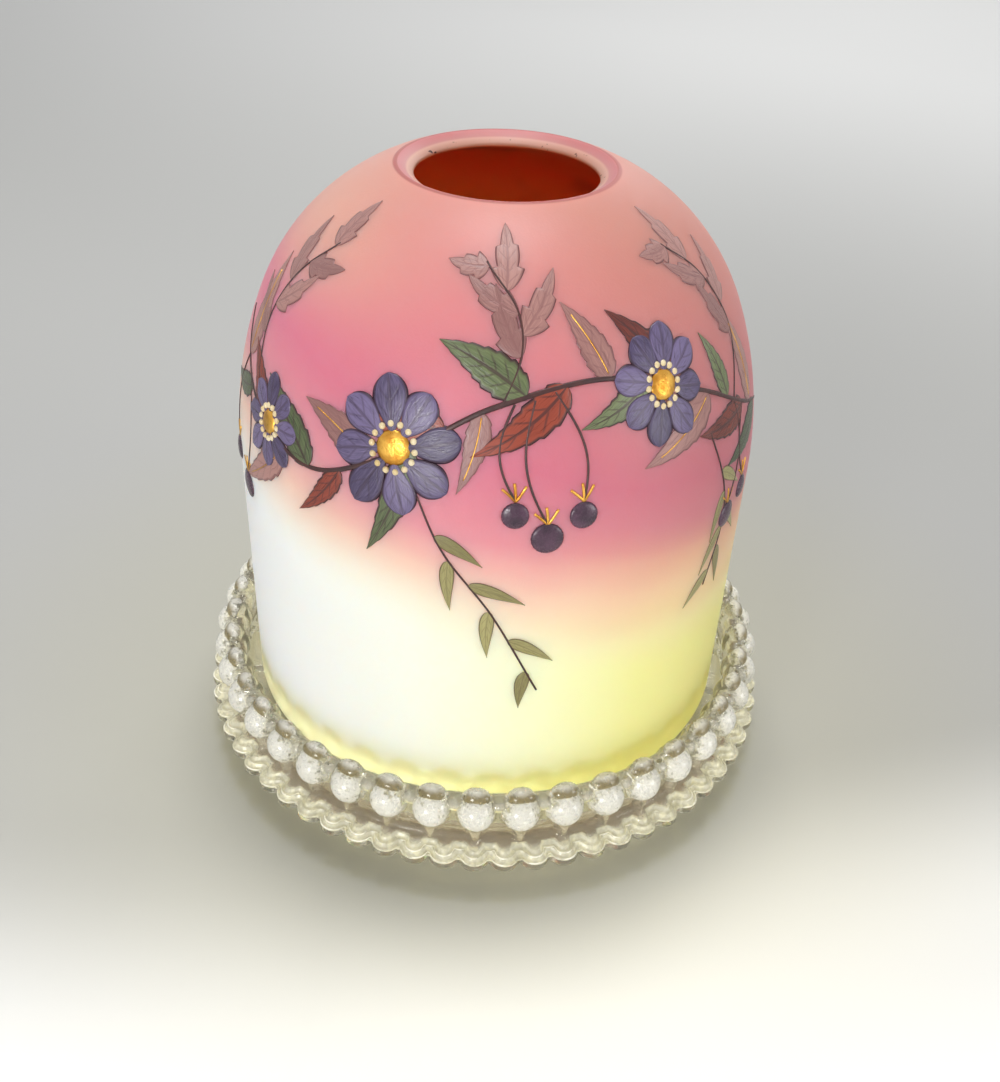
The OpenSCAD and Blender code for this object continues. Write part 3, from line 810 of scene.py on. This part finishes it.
def flower_spray():
    """The painted decoration: one waving twig across the front, with leaves set left and right of it in
    turn, three blossoms, drooping berries, two pale sprigs below and three leafy ones above; the back stays
    plain. Places are (x, s) as on_shade takes them."""
    dark = paint(52, 22, 24)
    leaf_green = enamel("leaf_green", paint(112, 122, 80), paint(62, 74, 44), dark, 7.0)
    leaf_russet = enamel("leaf_russet", paint(150, 62, 40), paint(88, 30, 22), dark, 6.0)
    leaf_taupe = enamel("leaf_taupe", paint(176, 128, 120), paint(138, 96, 92), paint(128, 84, 82), 6.0, 0.6)
    petal_violet = enamel("petal_violet", paint(114, 100, 138), paint(64, 52, 84), paint(46, 20, 40),
                          3.0, 0.5)
    olive_wash = enamel("olive_wash", paint(168, 160, 104), paint(124, 116, 70), paint(110, 96, 62), 5.0, 0.5)
    stem_line = line_enamel("stem_line", paint(70, 30, 26), paint(44, 18, 18))
    gilding = line_enamel("gilding", paint(226, 178, 84), paint(170, 112, 40), 0.34, 1.0)
    bead_white = line_enamel("bead_white", paint(236, 222, 186), paint(214, 186, 128), 0.3)
    berry_dark = line_enamel("berry_dark", paint(84, 54, 74), paint(48, 28, 44), 0.25)

    twig_rows = 180
    twig = flowing([(58, 56), (48, 60), (34, 67), (17, 72), (0, 69), (-14, 61), (-28, 55), (-44, 59),
                    (-57, 68)], twig_rows)
    thick = np.interp(np.linspace(0, 1, twig_rows), [0, 0.1, 0.5, 0.9, 1], [0.12, 0.3, 0.38, 0.3, 0.12])
    strokes("twig", twig[None], thick[None], 0.14, stem_line)

    i = np.arange(20)
    at = (8 + i * 8.4).astype(int)
    way = twig[at + 1] - twig[at - 1]
    hand = np.where(i % 2 == 0, 1.0, -1.0)
    heading = np.arctan2(way[:, 1], way[:, 0]) + hand * (0.9 + 0.25 * np.sin(i * 2.1))
    length = 14.0 + 2.8 * np.sin(i * 1.7)
    width = length * (0.36 + 0.05 * np.cos(i * 2.9))
    tone = np.mod(i * GOLDEN, 1)
    for kind, material, relief in ((0, leaf_green, 0.1), (1, leaf_taupe, 0.06), (2, leaf_russet, 0.1)):
        pick = i % 3 == kind
        paths = leaf_paths(twig[at[pick]], heading[pick], length[pick], -0.22 * hand[pick])
        strokes(material.name + "_leaves", paths, leaf_widths(width[pick], 0.16), relief, material,
                tone[pick], 16)
        if kind == 1:
            ribs = paths[:, 2:28]
            strokes("gilt_ribs", ribs, np.full(ribs.shape[:2], 0.11), 0.12, gilding, cols=6)

    hearts = np.array([(-14, 62), (27, 69.5), (-38, 57.5)], float)
    size = np.array([9.6, 8.4, 7.0])
    petals, petal_rows, drops_round = 8, 26, 14
    turn = (np.arange(petals) * TURN / petals)[None] + np.array([0.2, 0.5, 0.05])[:, None]
    root = hearts[:, None] + 0.2 * size[:, None, None] * np.stack([np.cos(turn), np.sin(turn)], -1)
    reach = 0.8 * size[:, None] * (1 + 0.06 * np.sin(5 * turn))
    paths = leaf_paths(root.reshape(-1, 2), turn.ravel(), reach.ravel(), 0.06, petal_rows)
    u = np.linspace(0, 1, petal_rows)
    blade = (np.sin(np.pi * u ** 1.5) ** 0.62) * 0.92 + 0.08
    strokes("blossom_petals", paths, np.repeat(size * 0.27, petals)[:, None] * blade, 0.22, petal_violet,
            np.mod(np.arange(len(hearts) * petals) * GOLDEN, 1), 14)
    knobs("blossom_hearts", hearts, size * 0.26, 0.55, gilding, 8, 20)
    turn = (np.arange(drops_round) * TURN / drops_round)[None]
    drops = hearts[:, None] + 0.34 * size[:, None, None] * np.stack([np.cos(turn), np.sin(turn)], -1)
    knobs("blossom_drops", drops.reshape(-1, 2), 0.5, 0.5, bead_white, 5, 10)

    stalk_from = np.array([(6, 70), (9, 71), (3, 69.5), (-47, 61), (-50, 63), (44, 61.5), (47, 60.5)], float)
    stalk_to = np.array([(8, 53), (13, 56), (3.5, 56.5), (-46, 45), (-52, 48), (42, 46), (47.5, 48)], float)
    berries, stalk_rows = len(stalk_to), 24
    u = np.linspace(0, 1, stalk_rows)[None, :, None]
    paths = stalk_from[:, None] * (1 - u) + stalk_to[:, None] * u
    paths[..., 0] += 2.2 * np.sin(np.pi * u[..., 0]) * np.where(np.arange(berries) % 2, 1, -1)[:, None]
    strokes("berry_stalks", paths, np.full((berries, stalk_rows), 0.17), 0.13, stem_line)
    berry_r = np.array([2.3, 2.0, 1.9, 2.3, 2.0, 2.2, 1.9])
    knobs("berries", stalk_to - (0, 2.0), berry_r, 0.45, berry_dark, 8, 20)
    crowns = leaf_paths(np.repeat(stalk_to, 3, 0), np.tile([0.9, 1.57, 2.3], berries), 2.6, 0.1, 10)
    strokes("berry_crowns", crowns, np.full(crowns.shape[:2], 0.2), 0.14, gilding)

    def sprig(name, ways, at, size, lean, material, teeth):
        """Thin stems with pairs of leaves that lean off them, longest in the middle."""
        rows = 60
        stems = np.stack([flowing(way, rows) for way in ways])
        strokes(name + "_stems", stems, np.full((len(ways), rows), 0.16), 0.12, stem_line)
        run = stems[:, at + 1] - stems[:, at - 1]
        hand = np.where(np.arange(len(at)) % 2 == 0, 1.0, -1.0)
        heading = np.arctan2(run[..., 1], run[..., 0]) + hand * lean
        long = np.tile(size[0] * (0.75 + 0.25 * np.sin(np.pi * at / rows)), len(ways))
        bend = np.tile(-0.15 * hand, len(ways))
        paths = leaf_paths(stems[:, at].reshape(-1, 2), heading.ravel(), long, bend)
        widths = leaf_widths(np.full(len(paths), size[1]), teeth, 3)
        tone = np.mod(np.arange(len(paths)) * GOLDEN, 1)
        strokes(name + "_leaves", paths, widths, 0.08, material, tone, 12)

    sprig("pale_sprig", [[(-10, 56), (-6, 48), (1, 38), (8, 24)], [(36, 60), (40, 50), (41, 42), (38, 33)]],
          np.array([14, 22, 30, 38, 46, 54]), (8.5, 2.3), 0.7, olive_wash, 0.0)
    sprig("crown_sprig", [[(1, 69), (4, 76), (3, 82), (-3, 88)], [(44, 62), (48, 72), (46, 81), (40, 87)],
                          [(-42, 58), (-46, 69), (-44, 78), (-38, 85)]],
          np.array([18, 27, 36, 46, 57]), (11.0, 4.0), 0.85, leaf_taupe, 0.5)


clear = pressed_glass("pressed_glass", (0.975, 0.955, 0.83, 1.0), 420.0, 0.0006)
cup_clear = pressed_glass("blown_cup_glass", (0.95, 0.965, 0.95, 1.0), 180.0, 0.0002)
dress(base_glass(), clear, "base", "clear_glass", "base")
dress(frost_and_glare_skins(), frost_and_glare_glass(), "base", "clear_glass")
# Painted glints: white on the ridge crests stands in for highlights.
painted_glint_white = (1.0, 0.98, 0.88, 1)
glint = painted_glass_sheen("ridge_glint", (1.0, 0.99, 0.94, 1), painted_glint_white, painted_glint_white, 300.0, 0.05, 0.9)
# The straw colours are painted sheen on the flange; the last colour, taupe, is painted shade on the waist.
straw = painted_glass_sheen("straw_painted_sheen", (0.99, 0.955, 0.77, 1), (0.99, 0.945, 0.70, 1), (0.45, 0.33, 0.2, 1),
                    1000.0, 0.3, 0.48)
dress(ridge_glints(), glint, "base", "clear_glass")
dress(flange_painted_sheen_and_shade(), straw, "base", "clear_glass")
dress(shade_glass(), satin_glass(), "shade", "satin_glass", "shade")
dress(cup_piece(), cup_clear, "candle_cup", "cup_glass", "candle_cup")
dress(case_piece(), chalky_plaster(), "night_light", "plaster", "plaster_case")
dress(wax_piece(), candle_wax(), "night_light", "wax", "wax")
cotton = wick_cotton()
for node in ("wick_left", "wick_right"):
    dress(wick_piece(node), cotton, "night_light", "wick_cotton", node)
tin = tinned_sheet()
for node in ("wick_tab_left", "wick_tab_right"):
    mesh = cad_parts[node].data
    mesh.materials.clear()
    mesh.materials.append(tin)
flower_spray()


def background_rays(b):
    """1 for rays that look at the background: straight from the camera, off a gloss or through glass."""
    path = b.node("ShaderNodeLightPath").outputs
    bent = b.math("MAXIMUM", path["Is Glossy Ray"], path["Is Transmission Ray"])
    return b.math("MAXIMUM", path["Is Camera Ray"], bent)


def paper_floor():
    """A wide sheet of pale paper under the lamp, with a faint tooth, its brightness painted light and shadow:
    white in front, where the paper also shines a little for camera, gloss and glass rays; greyer in the
    middle and more so to one side, painted shadow whose edge slants; pale again far behind, painted light;
    and a straw tint close round the glass, painted light as if through the yellow dome."""
    half = 4.0
    mesh = bpy.data.meshes.new("paper_floor")
    mesh.from_pydata([(-half, -half, 0), (half, -half, 0), (half, half, 0), (-half, half, 0)], [],
                     [(0, 1, 2, 3)])
    material, b, sockets, _ = new_material("pale_paper", Roughness=0.75)
    skin = grain(b, 260.0, 3.0)
    x, y, _ = b.node("ShaderNodeSeparateXYZ", {0: b.place()}).outputs
    near = clouded(b, skin, (0.94, 0.94, 0.93, 1), (0.92, 0.92, 0.91, 1))
    # Painted shadow: the middle of the paper is grey, darker towards +x.
    middle = b.mix(b.span(x, -0.06, 0.10), (0.52, 0.52, 0.505, 1), (0.45, 0.45, 0.435, 1))
    # The edge between the lit front and the shaded middle slants, as the painted shadow falls.
    front = b.math("SUBTRACT", y, b.math("MULTIPLY", b.math("MAXIMUM", x, -0.022), 0.3))
    colour = b.mix(b.span(front, -0.078, -0.03), near, middle)
    away = b.node("ShaderNodeVectorMath", {0: b.place()}, operation="LENGTH").outputs["Value"]
    # Painted light: a straw tint close round the glass, as if through the yellow dome.
    colour = b.mix(b.span(away, 0.05, 0.13, 0.6, 0.0), colour, (1.0, 0.975, 0.8, 1), "MULTIPLY")
    # Painted light: the paper is pale again far behind.
    far = b.span(b.math("ADD", y, b.math("MULTIPLY", x, 0.5)), 0.15, 0.6)
    b.feed(sockets["Base Color"], b.mix(far, colour, (0.80, 0.80, 0.79, 1)))
    b.feed(sockets["Emission Color"], near)
    # Painted light: the front of the paper shines a little for camera, gloss and glass rays.
    glow = b.span(y, -0.09, -0.05, 0.18, 0.0)
    b.feed(sockets["Emission Strength"], b.math("MULTIPLY", background_rays(b), glow))
    mesh.materials.append(material)
    obj = bpy.data.objects.new("paper_floor", mesh)
    bpy.context.scene.collection.objects.link(obj)


def soft_lamp(name, place, aim, size, watts):
    """A square studio lamp at a place, turned to look at its aim."""
    data = bpy.data.lights.new(name, "AREA")
    data.size, data.energy = size, watts
    obj = bpy.data.objects.new(name, data)
    obj.location = place
    obj.rotation_euler = (Vector(aim) - Vector(place)).to_track_quat("-Z", "Y").to_euler()
    bpy.context.scene.collection.objects.link(obj)


# Each lamp's name, place, aim and size in metres, and power in watts.
LAMPS = (("ceiling_light", (-0.01, 0.13, 0.80), (0, 0, 0), 0.28, 4.0),
         ("front_light", (-0.36, -0.80, 0.13), (0, 0, 0.05), 0.22, 4.2),
         ("side_light", (0.75, -0.35, 0.14), (0, 0, 0.04), 0.3, 2.0),
         ("back_light", (0.30, 0.75, 0.45), (0.18, 0.5, 0), 0.3, 1.0))
CAMERA_PLACE = (0.0016, -0.16984, 0.1552)
CAMERA_TILT, CAMERA_ROLL = np.radians(54.4), np.radians(2.85)
CAMERA_LENS, CAMERA_SENSOR = 39.72, 36.0
CAMERA_NEAR, CAMERA_FAR = 0.005, 50.0


def studio():
    """Floor, lamps, an even pale surround, and the camera where the picture was taken from."""
    paper_floor()
    for lamp in LAMPS:
        soft_lamp(*lamp)
    world = bpy.data.worlds.new("surround")
    bpy.context.scene.world = world
    world.use_nodes = True
    world.node_tree.nodes.clear()
    b = Bench(world.node_tree)
    colour = b.mix(background_rays(b), (0.24, 0.243, 0.245, 1), (1.0, 1.0, 1.0, 1))
    back = b.node("ShaderNodeBackground", {"Color": colour})
    b.node("ShaderNodeOutputWorld", {"Surface": back.outputs[0]})

    data = bpy.data.cameras.new("photo_camera")
    data.lens, data.sensor_width = CAMERA_LENS, CAMERA_SENSOR
    data.clip_start, data.clip_end = CAMERA_NEAR, CAMERA_FAR
    camera = bpy.data.objects.new("photo_camera", data)
    bpy.context.scene.collection.objects.link(camera)
    camera.matrix_world = (Matrix.Translation(CAMERA_PLACE) @ Matrix.Rotation(CAMERA_TILT, 4, "X")
                           @ Matrix.Rotation(CAMERA_ROLL, 4, "Z"))
    bpy.context.scene.camera = camera
    bpy.context.scene.view_settings.view_transform = "Standard"


studio()
